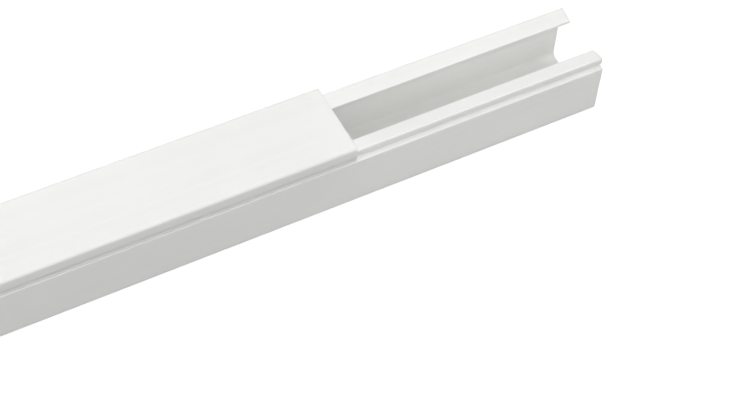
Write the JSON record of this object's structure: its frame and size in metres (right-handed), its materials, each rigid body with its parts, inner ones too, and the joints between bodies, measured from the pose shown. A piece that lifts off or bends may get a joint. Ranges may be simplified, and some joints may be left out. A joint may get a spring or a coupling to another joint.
{
  "type": "cord cover raceway",
  "caption": "Snap-fit cord raceway: extruded near-square channel with adhesive back, grooved rims and sloping inward lips, under a clip-on cover slid partly back.",
  "frame": {"origin": "middle of the release liner's outer face, under the middle of the base's length", "axes": "+X along the stock towards the end where the channel shows open, +Z out of the wall or floor that the back lies on"},
  "size_m": [0.481, 0.025, 0.0257],
  "materials": {
    "base_pvc": "satin",
    "cover_pvc": "satin",
    "foam_tape": "matte",
    "liner_paper": "satin"
  },
  "bodies": {
    "base": {"base_channel": "base_pvc", "adhesive_tape": "foam_tape", "release_liner": "liner_paper"},
    "cover": {"snap_cover": "cover_pvc"}
  },
  "joints": [
    {"name": "cover_slide", "type": "slide", "parent": "base", "child": "cover", "axis": [1, 0, 0], "range_m": [-0.299, 0.081]}
  ]
}
